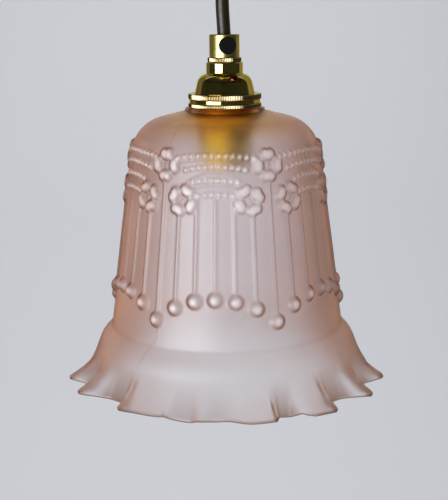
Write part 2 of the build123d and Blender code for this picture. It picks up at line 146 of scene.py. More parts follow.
def makeCloths():
    s = studio
    cloth = plainMaterial("darkCloth", s["cloth"], s["clothRough"])
    size = s["clothLow"], s["clothHigh"]
    points, faces = curvedCloth(s["clothRadius"], s["clothTurns"], *size, s["clothSteps"])
    roof = tuple(range(1, len(points), 2))
    stagePiece("frontCloth", points, faces + [roof], cloth, ("glossy",))  # gives the brass its blacks
    points, faces = curvedCloth(s["clothRadius"], s["sideTurns"], *size, s["sideSteps"])
    stagePiece("rightCloth", points, faces, cloth, ("transmission",))   # dims the barrel's right side
    for side, colour in s["cards"].items():
        card = plainMaterial("sideCard", (0, 0, 0), s["clothRough"])
        shader = card.node_tree.nodes["Principled BSDF"]
        shader.inputs["Emission Color"].default_value = (*colour, 1)
        shader.inputs["Emission Strength"].default_value = 1.0
        turns = [side * turn for turn in s["cardTurns"]]
        points, faces = curvedCloth(s["cardRadius"], turns, s["cardLow"], s["cardHigh"], s["sideSteps"])
        stagePiece("sideCard", points, faces, card, ("glossy",))  # keeps the edges deep


def makeLights():
    aim = Vector(studio["aim"])
    for name, place, across, up, watts, colour in studio["lights"]:
        data = bpy.data.lights.new(name, "AREA")
        data.shape = "RECTANGLE"
        data.size = across
        data.size_y = up
        data.energy = watts
        data.color = colour
        obj = bpy.data.objects.new(name, data)
        bpy.context.scene.collection.objects.link(obj)
        obj.location = place
        obj.rotation_euler = (aim - obj.location).to_track_quat("-Z", "Y").to_euler()
        obj.visible_camera = False
        obj.visible_glossy = name in studio["mirrored"]
        obj.visible_transmission = False
    world = bpy.data.worlds.new("paleRoom")
    world.use_nodes = True
    net = world.node_tree
    sky = net.nodes["Background"]
    sky.inputs["Color"].default_value = (*studio["world"], 1)
    rays = net.nodes.new("ShaderNodeLightPath")
    seen = rays.outputs["Is Camera Ray"]
    for kind in ("Is Glossy Ray", "Is Transmission Ray"):
        either = net.nodes.new("ShaderNodeMath")
        either.operation = "MAXIMUM"
        net.links.new(seen, either.inputs[0])
        net.links.new(rays.outputs[kind], either.inputs[1])
        seen = either.outputs[0]
    level = net.nodes.new("ShaderNodeMapRange")
    level.inputs["To Min"].default_value = studio["ambient"]
    level.inputs["To Max"].default_value = studio["seen"]
    net.links.new(seen, level.inputs["Value"])
    net.links.new(level.outputs["Result"], sky.inputs["Strength"])
    bpy.context.scene.world = world
    bpy.context.scene.view_settings.view_transform = "Standard"


makeCamera()
makeBackdrop()
makeCloths()
makeLights()
print("studio ready")


# Shared mesh and node helpers
def addNode(net, kind, **values):
    node = net.nodes.new(kind)
    for key, value in values.items():
        if key in node.inputs:
            node.inputs[key].default_value = value
        else:
            setattr(node, key, value)
    return node


def startMaterial(name):
    made = bpy.data.materials.new(name)
    made.use_nodes = True
    net = made.node_tree
    return made, net, net.nodes["Principled BSDF"]


def noiseField(net, scale, detail=3.0, rough=0.55, stretch=(1, 1, 1)):
    place = addNode(net, "ShaderNodeTexCoord")
    mapping = addNode(net, "ShaderNodeMapping", Scale=stretch)
    noise = addNode(net, "ShaderNodeTexNoise", Scale=scale, Detail=detail, Roughness=rough)
    net.links.new(place.outputs["Object"], mapping.inputs["Vector"])
    net.links.new(mapping.outputs["Vector"], noise.inputs["Vector"])
    return noise.outputs["Fac"]


def spread(net, source, low, high, start=0.3, stop=0.7):
    ranged = addNode(net, "ShaderNodeMapRange")
    ranged.inputs["From Min"].default_value = start
    ranged.inputs["From Max"].default_value = stop
    ranged.inputs["To Min"].default_value = low
    ranged.inputs["To Max"].default_value = high
    net.links.new(source, ranged.inputs["Value"])
    return ranged.outputs["Result"]


def rampThrough(net, source, stops):
    # A colour ramp with these (place, colour) stops
    ramp = addNode(net, "ShaderNodeValToRGB")
    marks = ramp.color_ramp.elements
    while len(marks) < len(stops):
        marks.new(0.5)
    for mark, (share, colour) in zip(marks, stops):
        mark.position = share
        mark.color = (*colour, 1)
    net.links.new(source, ramp.inputs["Fac"])
    return ramp.outputs["Color"]


def tinted(net, source, first, second, start=0.32, stop=0.68):
    return rampThrough(net, source, [(start, first), (stop, second)])


def bumped(net, shader, source, strength, distance):
    bump = addNode(net, "ShaderNodeBump", Strength=strength, Distance=distance)
    net.links.new(source, bump.inputs["Height"])
    net.links.new(bump.outputs["Normal"], shader.inputs["Normal"])


def skin(name, rings):
    # A closed quad skin over rings of points, which run down the outside and back up the inside
    rows, columns = rings.shape[:2]
    mesh = bpy.data.meshes.new(name)
    row = np.arange(rows)[:, None]
    column = np.arange(columns)[None, :]
    nextRow = (row + 1) % rows
    nextColumn = (column + 1) % columns
    quads = np.stack([row * columns + column, nextRow * columns + column,
                      nextRow * columns + nextColumn, row * columns + nextColumn], axis=-1)
    mesh.from_pydata((rings.reshape(-1, 3) * mm).tolist(), [], quads.reshape(-1, 4).tolist())
    mesh.polygons.foreach_set("use_smooth", np.ones(len(mesh.polygons), bool))
    mesh.update()
    obj = bpy.data.objects.new(name, mesh)
    bpy.context.scene.collection.objects.link(obj)
    return obj


def roundedPath(corners, step):
    # Points along a line of (radius, height, fillet) corners, about one step apart
    places = [np.array(corner[:2], float) for corner in corners]
    path = [places[0]]
    for before, corner, after, given in zip(places, places[1:], places[2:], corners[1:]):
        fillet = given[2]
        if fillet == 0:
            path.append(corner)
            continue
        back = (before - corner) / np.linalg.norm(before - corner)
        ahead = (after - corner) / np.linalg.norm(after - corner)
        half = math.acos(np.clip(back @ ahead, -1, 1)) / 2
        centre = corner + (back + ahead) / np.linalg.norm(back + ahead) * fillet / math.sin(half)
        start = corner + back * fillet / math.tan(half)
        stop = corner + ahead * fillet / math.tan(half)
        first = math.atan2(*(start - centre)[::-1])
        sweep = (math.atan2(*(stop - centre)[::-1]) - first + math.pi) % (2 * math.pi) - math.pi
        for share in np.linspace(0, 1, max(4, int(abs(sweep) * fillet / step * 2))):
            angle = first + sweep * share
            path.append(centre + fillet * np.array([math.cos(angle), math.sin(angle)]))
    path.append(places[-1])
    path = np.array(path)
    gaps = np.linalg.norm(np.diff(path, axis=0), axis=1)
    along = np.concatenate([[0], np.cumsum(gaps)])
    stops = np.linspace(0, along[-1], max(2, int(along[-1] / step) + 1))
    return np.stack([np.interp(stops, along, path[:, axis]) for axis in (0, 1)], axis=1)


def turnAround(radius, height, turns):
    # Points at these radii and heights; turn 0 faces the camera and goes towards +X
    angle = np.radians(turns)
    return np.stack([radius * np.sin(angle), -radius * np.cos(angle), height + 0 * angle], axis=-1)


# Flex: one short taut cord from the rose down to the lampholder
flex = {
    "radius": 3.4,
    "top": -37.8, "bottom": -97.8,           # the mouths of the two cord grips, mm
    "tuck": 1.1,                             # how far each end goes into its grip
    # the way it bows: share of the way down, mm to the side
    "lean": [(0.0, 0.0), (0.22, -0.35), (0.5, -1.0), (0.74, -0.95), (0.9, -0.4), (1.0, 0.0)],
    "colour": (0.012, 0.008, 0.002), "sheen": (0.020, 0.014, 0.004), "rough": (0.32, 0.44),
    "blotch": (220, 4), "gloss": (700, 2), "grain": (1500, 2),  # noise scale and detail
    "grainStretch": (1, 1, 0.15), "grainBump": (0.12, 0.0002),
    "sides": 10, "steps": 16,                # how finely the tube is divided
}


def flexMaterial():
    made, net, shader = startMaterial("flexSheath")
    blotch = noiseField(net, *flex["blotch"])
    net.links.new(tinted(net, blotch, flex["colour"], flex["sheen"]), shader.inputs["Base Color"])
    gloss = spread(net, noiseField(net, *flex["gloss"]), *flex["rough"])
    net.links.new(gloss, shader.inputs["Roughness"])
    grain = noiseField(net, *flex["grain"], stretch=flex["grainStretch"])
    bumped(net, shader, grain, *flex["grainBump"])
    return made


def makeFlex(sheath):
    top = flex["top"] + flex["tuck"]
    bottom = flex["bottom"] - flex["tuck"]
    data = bpy.data.curves.new("flexCord", "CURVE")
    data.dimensions = "3D"
    data.bevel_depth = flex["radius"] * mm
    data.bevel_resolution = flex["sides"]
    data.resolution_u = flex["steps"]
    data.use_fill_caps = True
    line = data.splines.new("NURBS")
    line.points.add(len(flex["lean"]) - 1)
    for point, (share, side) in zip(line.points, flex["lean"]):
        point.co = (side * mm, 0, (top + (bottom - top) * share) * mm, 1)
    line.use_endpoint_u = True
    line.order_u = 3
    obj = bpy.data.objects.new("flexCord", data)
    bpy.context.scene.collection.objects.link(obj)
    data.materials.append(sheath)
    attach(obj, "flex")
    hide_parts("flex")


sheath = flexMaterial()
makeFlex(sheath)
print("flex hung")


# Glass shade: one skin, outside and inside, with its moulded ornament and crimped skirt
shade = {
    "turnSteps": 792, "reliefStep": 0.42, "insideStep": 3.0,
    "wall": 3.0, "rimWall": 2.4, "hole": 14.6, "seat": 4.65,
    "collar": (20.5, 1.6, 0.7, 0.8),         # radius, height, edge, fillet
    "shoulder": (46.4, 8.35, 19.5),          # radius, depth, round
    "crease": (60.9, 112.65, 1.2),
    "ledge": (66.3, 118.1, 14.0),
    "insideRound": 4.0,                      # inside the crease and the ledge
    "skirt": (68.5, 123.5), "rim": (79.6, 137.7), "skirtRows": 34, "flareStart": 0.48,
    "clearFrom": 6.0, "clearTo": 16.0,       # the shoulder is etched less towards the collar and a painted glow of the brass in it warms the glass how much lower that glow ends on the inside
    "brassGlowFrom": 2.6, "brassGlowTo": 6.6,        # and the brass in it warms the glass
    "roofDrop": 6.0,                         # how much lower that ends on the inside
    "collarShade": 0.75, "collarFade": 2.6,   # painted shade at the collar, in the crease, round the lip and in the folds of the skirt
    "creaseShade": 0.16, "creaseShadeWidth": 0.9,  # round the lip and in the folds of the skirt
    "lipShades": (0.5, 0.9, 1.0, 1.0, 0.8),
    "foldShadeRadius": 82.0, "foldShadeSpan": 5.0,
    # how late the crimps start on their way down the skirt: turn, power
    "growth": [(-31, 1.7), (-19, 2.8), (24, 2.8), (33, 1.8), (100, 1.9), (180, 1.7), (260, 1.9)],
    # the crimped rim: turn, radius and depth at each crest and fold
    "crimps": [
        (-76, 84.2, 137.0), (-68, 75.0, 139.1), (-59.5, 86.2, 136.7), (-50, 74.8, 139.2),
        (-43.5, 74.0, 139.4), (-38.5, 84.4, 137.3), (-28, 84.6, 136.3), (-21.8, 82.8, 136.8),
        (-19.4, 79.4, 139.2), (-13.4, 78.8, 140.2), (-10.2, 81.4, 138.2), (-4.8, 80.0, 138.6),
        (0.4, 81.0, 137.8), (8.2, 83.2, 138.6), (16.4, 83.6, 138.2), (19.4, 75.0, 140.9),
        (22.6, 75.6, 141.0), (25.8, 82.0, 137.6), (29.5, 86.0, 137.6), (37.5, 85.8, 138.3),
        (42.5, 74.2, 139.5), (48, 74.8, 139.4), (55.8, 86.2, 137.6), (65.5, 74.8, 139.1),
        (74, 83.6, 137.0), (86, 75.2, 138.9), (97, 76.0, 138.3), (108, 75.0, 138.9),
        (122, 84.0, 136.7), (134, 75.2, 139.0), (146, 84.2, 136.5), (157, 74.4, 139.3),
        (168, 84.8, 136.8), (180, 74.0, 139.5), (191, 83.8, 136.7), (201, 75.0, 139.1),
        (212, 84.2, 136.6), (224, 74.4, 139.3), (238, 84.2, 136.7), (250, 75.0, 138.9),
        (262, 75.8, 138.3), (273, 75.0, 138.9)],
}
relief = {
    "nodes": 6, "firstNode": -35.6,          # six swags; turn of the stem between two of them
    "drops": 36, "ball": 4.2, "ballSink": 1.25, "ballLow": 99.05, "ballRise": 11.7, "ballBow": 2.2,
    "stem": 0.9, "stemHeight": 0.95, "stemTops": (30.0, 44.0, 43.0, 40.0),
    "stemSideShade": 0.28, "stemFrom": 0.3167, "stemPlay": 0.05,  # painted shade on their sides, and where
    "flower": 5.1, "petal": 3.35, "petalWide": 1.3, "petalHeight": 2.1, "petalNotch": 0.28,
    "petalPower": 2.4,                       # above 2 for a flatter top
    "heart": 1.3, "heartHeight": 1.2,
    "topFlower": (0.0, 24.2, 0.0),           # degrees from the node, depth, tilt
    "lowFlower": (11.9, 40.4, 28.0),
    "bead": 1.4, "beadHeight": 1.7,
    # rows of beads: first angle from the node, depth in the middle, sag, count to the middle
    "rows": [(8.0, 19.2, 1.4, 6), (13.0, 24.4, 1.6, 5), (17.6, 30.6, 1.2, 4), (20.6, 37.3, 0.8, 3)],
    # thin ropes: first angle, depth in the middle, sag
    "ropes": [(10.0, 21.9, 1.8), (14.0, 27.6, 4.6), (18.0, 33.9, 1.8)],
    "rope": 0.95, "ropeHeight": 0.6,
    # the seams take a painted shade line along the mould's parting lines
    "seams": (-34.4, 85.6, 205.6), "seamWidth": 0.45, "seamHeight": 0.2, "seamShade": 0.3,
    "seamFrom": 3.0, "seamFade": 6.0,
    # where the seams slip aside: depth from, depth to, degrees
    "seamStep": (108.6, 113.0, -3.2), "seamTail": (113.0, 125.0, -3.0),
    "from": 14.0, "to": 106.0, "fade": 2.0,  # depths between which there is ornament
    "soften": 3,                             # rounds of smoothing
    "flankFrom": 0.12, "flankTo": 0.8,       # slopes from which its sides take painted shade
    "crownFrom": 0.55, "crownTo": 2.2,       # heights between which its tops grow white
    "beadFrom": 0.3, "beadTo": 1.0,          # the same for the beads
    "beadFlank": 0.3,                        # how much painted shade the beads' sides take
}


def dome(gap, radius, height, power=2):
    return height * np.sqrt(np.clip(1 - np.abs(gap / radius) ** power, 0, None))


def softened(height):
    for _ in range(relief["soften"]):
        height = (np.roll(height, 1, 1) + 2 * height + np.roll(height, -1, 1)) / 4
        height[1:-1] = (height[:-2] + 2 * height[1:-1] + height[2:]) / 4
    return height


def reliefHeight(turns, depth, radius):
    r = relief
    period = 360 / r["nodes"]
    away = np.abs((turns - r["firstNode"] + period / 2) % period - period / 2)[None, :]
    depth = depth[:, None]
    arc = np.radians(1) * radius[:, None]     # mm for one degree
    middle = period / 2
    height = np.zeros((depth.shape[0], turns.size))
    stems = np.zeros_like(height)
    beads = np.zeros_like(height)

    def gapTo(angle, level):
        return np.hypot((away - angle) * arc, depth - level)

    for place, top in enumerate(r["stemTops"]):
        angle = place * 360 / r["drops"]
        share = angle / middle
        low = r["ballLow"] - r["ballRise"] * (1 - (1 - share) ** r["ballBow"])
        inside = (depth > top) & (depth < low)
        stems = np.maximum(stems, inside * dome((away - angle) * arc, r["stem"], r["stemHeight"]))
        ball = np.sqrt(np.clip(r["ball"] ** 2 - gapTo(angle, low) ** 2, 0, None)) - r["ballSink"]
        height = np.maximum(height, ball)
    for angle, level, tilt in (r["topFlower"], r["lowFlower"]):
        for quarter in range(4):              # four petals
            lean = math.radians(tilt + 90 * quarter)
            across = (away - angle) * arc - r["flower"] * math.sin(lean)
            down = depth - level + r["flower"] * math.cos(lean)
            outer = across * math.sin(lean) - down * math.cos(lean)
            beside = across * math.cos(lean) + down * math.sin(lean)
            petal = np.hypot(outer, beside / r["petalWide"])
            petal = petal + r["petalNotch"] * np.clip(outer, 0, None) * np.exp(-beside ** 2)
            height = np.maximum(height, dome(petal, r["petal"], r["petalHeight"], r["petalPower"]))
        height = np.maximum(height, dome(gapTo(angle, level), r["heart"], r["heartHeight"]))
    for first, level, sag, count in r["rows"]:
        for place in range(count):
            share = place / (count - 0.5)     # the middle falls between two beads
            angle = first + (middle - first) * share
            drop = sag * (1 - share) ** 2
            beads = np.maximum(beads, dome(gapTo(angle, level + drop), r["bead"], r["beadHeight"]))
    for first, level, sag in r["ropes"]:
        share = np.clip((middle - away) / (middle - first), 0, 1)
        rope = dome(depth - level - sag * share ** 2, r["rope"], r["ropeHeight"])
        height = np.maximum(height, np.where(away > first, rope, 0))
    height = np.maximum(height, np.maximum(stems, beads))
    return softened(height), softened(stems), softened(beads)


def closedLine(turns, marks, values):
    # A smooth line through these points that goes once round and never overshoots them
    marks = np.concatenate([np.array(marks) + loop for loop in (-360, 0, 360)])
    values = np.tile(values, 3)
    rise = np.diff(values) / np.diff(marks)
    same = rise[:-1] * rise[1:] > 0
    total = np.where(same, rise[:-1] + rise[1:], 1)
    slope = np.concatenate([[0], np.where(same, 2 * rise[:-1] * rise[1:] / total, 0), [0]])
    left = np.clip(np.searchsorted(marks, turns, side="right") - 1, 0, len(marks) - 2)
    gap = marks[left + 1] - marks[left]
    t = (turns - marks[left]) / gap
    return (values[left] * (1 + 2 * t) * (1 - t) ** 2 + slope[left] * gap * t * (1 - t) ** 2
            + values[left + 1] * t ** 2 * (3 - 2 * t) + slope[left + 1] * gap * t ** 2 * (t - 1))


def skirtRings(turns):
    s = shade
    marks, reach, low = zip(*s["crimps"])
    rimRadius = closedLine(turns, marks, reach)[None, :]
    rimDepth = closedLine(turns, marks, low)[None, :]
    share = np.linspace(0, 1, s["skirtRows"] + 1)[1:, None]
    flare = s["flareStart"] * share + (1 - s["flareStart"]) * share ** 2
    turnMarks, powers = zip(*s["growth"])
    grown = share ** closedLine(turns, turnMarks, powers)[None, :]
    radius = s["skirt"][0] + (s["rim"][0] - s["skirt"][0]) * flare + (rimRadius - s["rim"][0]) * grown
    depth = s["skirt"][1] + (s["rim"][1] - s["skirt"][1]) * share + (rimDepth - s["rim"][1]) * grown
    # Painted shade in the skirt's folds, deeper the further in the rim comes
    foldShade = np.clip((s["foldShadeRadius"] - rimRadius) / s["foldShadeSpan"], 0, 1) * np.sqrt(grown)
    return radius, depth, foldShade


def seamRise(turns, depth, radius):
    # The mould's parting lines: straight down the bell, slipping aside where the skirt begins
    r = relief
    top, foot, aside = r["seamStep"]
    tailTop, tailFoot, tailAside = r["seamTail"]
    step = np.clip((depth - top) / (foot - top), 0, 1)
    tail = np.clip((depth - tailTop) / (tailFoot - tailTop), 0, 1)
    slip = aside * step ** 2 * (3 - 2 * step) + tailAside * tail
    fade = np.clip((depth - r["seamFrom"]) / r["seamFade"], 0, 1)
    fade = fade * np.clip((tailFoot - depth) / r["seamFade"], 0, 1)
    rise = np.zeros(np.broadcast(turns, depth).shape)
    for seam in r["seams"]:
        arc = np.radians((turns - seam - slip + 180) % 360 - 180) * radius
        rise += r["seamHeight"] * np.exp(-(arc / r["seamWidth"]) ** 2) * fade
    return rise


def inwardOffset(rings, wall):
    # The same skin moved inward by the wall's thickness, along its own normals
    down = np.gradient(rings, axis=0)
    around = np.roll(rings, -1, 1) - np.roll(rings, 1, 1)
    normal = np.cross(around, down)
    normal /= np.linalg.norm(normal, axis=2, keepdims=True)
    outward = rings * np.array([1, 1, 0])
    normal *= np.sign(np.sum(normal * outward, axis=2, keepdims=True))
    return rings - normal * wall


def flankShare(height, outside):
    # 1 on the steep sides of the moulded ornament, 0 on its tops and on the plain wall
    along = np.concatenate([[0], np.cumsum(np.linalg.norm(np.diff(outside, axis=0), axis=1))])
    arc = 2 * math.pi * outside[:, :1] / height.shape[1]
    around = (np.roll(height, -1, 1) - np.roll(height, 1, 1)) / 2 / arc
    slope = np.hypot(np.gradient(height, along, axis=0), around)
    share = np.clip((slope - relief["flankFrom"]) / (relief["flankTo"] - relief["flankFrom"]), 0, 1)
    return share ** 2 * (3 - 2 * share)


def outsideLine():
    # The bell's plain outline, with twice the points where there is ornament
    s = shade
    collar, collarHeight, edge, fillet = s["collar"]
    corners = [(s["hole"], 0, 0), (collar, 0, edge), (collar, -collarHeight, fillet)]
    for corner in ("shoulder", "crease", "ledge"):
        radius, depth, bend = s[corner]
        corners.append((radius, -depth, bend))
    corners.append((s["skirt"][0], -s["skirt"][1], 0))
    line = roundedPath(corners, s["reliefStep"])
    carved = (-line[:, 1] > relief["from"]) & (-line[:, 1] < relief["to"])
    keep = carved | (np.arange(len(line)) % 2 == 0)
    keep[-1] = True
    return line[keep]


def insideLine():
    # Up the inside from the skirt to the hole, one wall in
    s = shade
    wall = s["wall"]
    slope = (s["crease"][0] - s["shoulder"][0]) / (s["crease"][1] - s["shoulder"][1])
    line = roundedPath([
        (s["skirt"][0] - wall, -s["skirt"][1], 0),
        (s["ledge"][0] - wall, -s["ledge"][1] - wall / 2, s["insideRound"]),
        (s["crease"][0] - wall, -s["crease"][1] - wall / 2, s["insideRound"]),
        (s["shoulder"][0] + slope * wall - wall, -s["shoulder"][1] - wall, s["shoulder"][2] - wall),
        (s["collar"][0], -s["seat"], 0), (s["hole"], -s["seat"], 0), (s["hole"], 0, 0)], s["insideStep"])
    return line[:-1]


def makeBell(line, turns):
    # The outside with its ornament raised along its normals, and shares for its painted shade and white
    # tops
    r = relief
    depth = -line[:, 1]
    tangent = np.gradient(line, axis=0)
    tangent /= np.linalg.norm(tangent, axis=1, keepdims=True)
    normal = np.stack([-tangent[:, 1], tangent[:, 0]], axis=1)
    height, stems, beads = reliefHeight(turns, depth, line[:, 0])
    fade = np.clip((depth - r["from"]) / r["fade"], 0, 1) * np.clip((r["to"] - depth) / r["fade"], 0, 1)
    height *= fade[:, None]
    onStem = np.clip(stems / r["stemFrom"], 0, 1) * (height < stems + r["stemPlay"])
    onBead = np.clip(beads / r["beadFrom"], 0, 1)
    flank = flankShare(height, line) * (1 - (1 - r["beadFlank"]) * onBead)
    tall = (height - r["crownFrom"]) / (r["crownTo"] - r["crownFrom"])
    tallBead = (beads - r["beadFrom"]) / (r["beadTo"] - r["beadFrom"])
    crown = np.clip(np.maximum(tall, tallBead), 0, 1) * (1 - flank)
    seam = seamRise(turns[None, :], depth[:, None], line[:, :1])
    height += seam
    bell = turnAround(line[:, :1] + normal[:, :1] * height, line[:, 1:] + normal[:, 1:] * height,
                      turns[None, :])
    return bell, flank, crown, r["stemSideShade"] * flank * onStem, seam


def makeSkirt(turns):
    # The crimped skirt's outside, its round lip and its inside
    s = shade
    radius, low, foldShade = skirtRings(turns)
    seam = seamRise(turns[None, :], low, radius)
    skirt = turnAround(radius + seam, -low, turns[None, :])
    walls = np.linspace(s["wall"], s["rimWall"], len(skirt))[:, None, None]
    inner = inwardOffset(turnAround(radius, -low, turns[None, :]), walls)
    middle = (skirt[-1] + inner[-1]) / 2
    tip = skirt[-1] - skirt[-3]               # the way the skirt runs out
    tip /= np.linalg.norm(tip, axis=1, keepdims=True)
    lip = []
    for angle in np.linspace(0, math.pi, len(s["lipShades"]) + 2)[1:-1]:
        lip.append(middle + (skirt[-1] - middle) * math.cos(angle)
                   + tip * s["rimWall"] / 2 * math.sin(angle))
    return skirt, np.array(lip), inner[::-1], foldShade, seam


def makeShade(glass):
    s = shade
    turns = np.arange(s["turnSteps"]) * 360 / s["turnSteps"] + relief["firstNode"]
    line = outsideLine()
    roof = insideLine()
    bell, flank, crown, stemShade, bellSeam = makeBell(line, turns)
    skirt, lip, inner, foldShade, skirtSeam = makeSkirt(turns)
    back = turnAround(roof[:, :1], roof[:, 1:], turns[None, :])
    parts = [bell, skirt, lip, inner, back]
    grid = np.concatenate(parts)
    grid[:, :, 2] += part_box("glass_shade")[1].z / mm
    obj = skin("glassShade", grid)
    depth = -line[:, 1:]
    etched = np.clip((depth - s["clearFrom"]) / (s["clearTo"] - s["clearFrom"]), 0, 1)
    # Painted glow of the brass on the glass round the collar, outside and in
    brassGlow = [np.clip((s["brassGlowTo"] - low) / (s["brassGlowTo"] - s["brassGlowFrom"]), 0, 1)
             for low in (depth, -roof[:, 1:] - s["roofDrop"])]
    # Painted shade darkening the collar, and a painted shadow line along the crease
    collar = s["collarShade"] * np.clip(1 - depth / s["collarFade"], 0, 1)
    crease = s["creaseShade"] * np.exp(-((depth - s["crease"][1]) / s["creaseShadeWidth"]) ** 2)
    seamShare = relief["seamShade"] / relief["seamHeight"]
    bellShade = np.maximum(collar + crease + stemShade, bellSeam * seamShare)
    skirtShade = np.maximum(foldShade, skirtSeam * seamShare)
    lipShade = np.array(s["lipShades"])[:, None]
    attributes = {  # shares on the bell, the skirt, the lip, the skirt's inside and the bell's inside
        "satin": (etched, 1, 1, 0, 0),
        "sheen": (etched, 1, 1, 1, 1),
        "brassGlow": (brassGlow[0], 0, 0, 0, brassGlow[1]),
        "flank": (flank, 0, 0, 0, 0),
        "crown": (crown, 0, 0, 0, 0),
        # painted shade at the collar, crease, seams, stems' sides, skirt folds and lip
        "paintedShade": (bellShade, skirtShade, lipShade, 0, 0),
    }
    for name, shares in attributes.items():
        values = [np.broadcast_to(share, part.shape[:2]) for share, part in zip(shares, parts)]
        values = np.concatenate(values).astype(np.float32)
        obj.data.attributes.new(name, "FLOAT", "POINT").data.foreach_set("value", values.ravel())
    obj.data.materials.append(glass)
    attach(obj, "shade")
    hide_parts("glass_shade")
    print("glass shade:", len(obj.data.polygons), "faces")


satinGlass = {
    "pale": (1.0, 1.0, 1.0), "deep": (0.985, 0.97, 0.975),
    # the tint a slanting look meets through the plain wall, and painted shade on the ornament's sides
    "slant": [(0.0, (1.0, 0.985, 0.995)), (0.04, (0.995, 0.97, 0.975)), (0.12, (0.985, 0.935, 0.925)),
              (0.29, (0.915, 0.82, 0.795)), (0.5, (0.895, 0.70, 0.60)), (0.75, (0.84, 0.56, 0.37)),
              (1.0, (0.48, 0.22, 0.07))],
    "sideShade": [(0.0, (1.0, 1.0, 1.0)), (0.12, (0.95, 0.92, 0.91)), (0.29, (0.74, 0.64, 0.59)),
                  (0.5, (0.40, 0.28, 0.23)), (0.75, (0.22, 0.11, 0.07)), (1.0, (0.10, 0.035, 0.01))],
    "paintedShade": (0.32, 0.17, 0.10),             # painted shade: folds, lip, collar, crease, seams and the stems' sides
    "transmission": (1.0, 0.68),             # through the wall, and through the ornament's white tops
    "brassGlow": (1.0, 0.74, 0.30),              # painted glow of the brass, next to it
    "rough": (0.72, 0.86), "clear": (0.4, 1.0),  # where etched, and the share of it from clear to etched
    "bend": 1.15, "absorb": (0.94, 0.62, 0.54), "density": 30.0,
    "coat": (0.1, 1.0), "coatRough": 0.44,
    "cloud": (26, 4), "etching": (140, 3), "grain": (3200, 2),  # noise scale and detail
    "grainBump": (0.04, 0.0001),
}


def slantTint(net, stops):
    facing = addNode(net, "ShaderNodeLayerWeight", Blend=0.5)
    return rampThrough(net, facing.outputs["Facing"], stops)


def attributeRange(net, name, low, high):
    # A mesh attribute's share of 0 to 1, spread from low to high
    share = addNode(net, "ShaderNodeAttribute", attribute_name=name)
    return spread(net, share.outputs["Fac"], low, high, 0.0, 1.0)


def blended(net, first, second, attribute=None, kind="MULTIPLY"):
    # Two colours put together, in full or by the share that a mesh attribute gives
    mix = addNode(net, "ShaderNodeMix", data_type="RGBA", blend_type=kind)
    amount, base, layer, result = mix.inputs[0], mix.inputs[6], mix.inputs[7], mix.outputs[2]
    amount.default_value = 1.0
    if attribute:
        share = addNode(net, "ShaderNodeAttribute", attribute_name=attribute)
        net.links.new(share.outputs["Fac"], amount)
    net.links.new(first, base)
    if isinstance(second, tuple):
        layer.default_value = (*second, 1)
    else:
        net.links.new(second, layer)
    return result


def glassMaterial():
    g = satinGlass
    made, net, shader = startMaterial("satinPinkGlass")
    cloud = tinted(net, noiseField(net, *g["cloud"]), g["pale"], g["deep"])
    # Painted glow of the brass near the collar
    tint = blended(net, slantTint(net, g["slant"]), g["brassGlow"], "brassGlow", "MIX")
    tint = blended(net, tint, cloud)
    # Painted shade on the ornament's steep sides
    tint = blended(net, tint, slantTint(net, g["sideShade"]), "flank")
    # Painted shade in the folds, crease, seams, stems' sides, at the collar and round the lip
    tint = blended(net, tint, g["paintedShade"], "paintedShade")
    net.links.new(tint, shader.inputs["Base Color"])
    rough = addNode(net, "ShaderNodeMath", operation="MULTIPLY")
    net.links.new(spread(net, noiseField(net, *g["etching"]), *g["rough"]), rough.inputs[0])
    net.links.new(attributeRange(net, "satin", *g["clear"]), rough.inputs[1])
    net.links.new(rough.outputs["Value"], shader.inputs["Roughness"])
    seeThrough = attributeRange(net, "crown", *g["transmission"])
    net.links.new(seeThrough, shader.inputs["Transmission Weight"])
    shader.inputs["IOR"].default_value = g["bend"]
    net.links.new(attributeRange(net, "sheen", *g["coat"]), shader.inputs["Coat Weight"])
    shader.inputs["Coat Roughness"].default_value = g["coatRough"]
    bumped(net, shader, noiseField(net, *g["grain"]), *g["grainBump"])
    absorb = addNode(net, "ShaderNodeVolumeAbsorption", Density=g["density"])
    absorb.inputs["Color"].default_value = (*g["absorb"], 1)
    net.links.new(absorb.outputs["Volume"], net.nodes["Material Output"].inputs["Volume"])
    return made


makeShade(glassMaterial())


# Metal, nylon, porcelain and fibre
brass = {
    "light": (0.64, 0.53, 0.19), "dark": (0.55, 0.45, 0.14), "edge": (0.85, 0.76, 0.28),
    # a paler, darker copy of the brass for the knurled rings, painted to soften their highlights
    "paleLight": (0.50, 0.39, 0.22), "paleDark": (0.42, 0.32, 0.17),
    # dull finish is real, but its deeper gold is painted glow seen through the glass
    "deepLight": (0.76, 0.52, 0.02), "deepDark": (0.66, 0.44, 0.015),
    # a brighter, deeper copy of the brass: painted light for the lower ring inside the glass
    "amberLight": (1.0, 0.70, 0.02), "amberDark": (0.94, 0.63, 0.015),
    "polished": (0.06, 0.11), "satin": (0.30, 0.38), "dull": (0.36, 0.46),  # roughness
    "blotch": (90, 4), "gloss": (420, 4), "grain": (1800, 3),  # noise scale and detail
    "grainBump": (0.05, 0.0001),
}


def brassMaterial(name, rough, light="light", dark="dark"):
    made, net, shader = startMaterial(name)
    colour = tinted(net, noiseField(net, *brass["blotch"]), brass[light], brass[dark])
    net.links.new(colour, shader.inputs["Base Color"])
    shader.inputs["Specular Tint"].default_value = (*brass["edge"], 1)
    net.links.new(spread(net, noiseField(net, *brass["gloss"]), *rough), shader.inputs["Roughness"])
    shader.inputs["Metallic"].default_value = 1
    bumped(net, shader, noiseField(net, *brass["grain"]), *brass["grainBump"])
    return made


plain = {
    "blotch": (160, 4), "gloss": (640, 3), "grain": (1440, 2),  # noise scale and detail
    "bumpDepth": 0.0001,
}


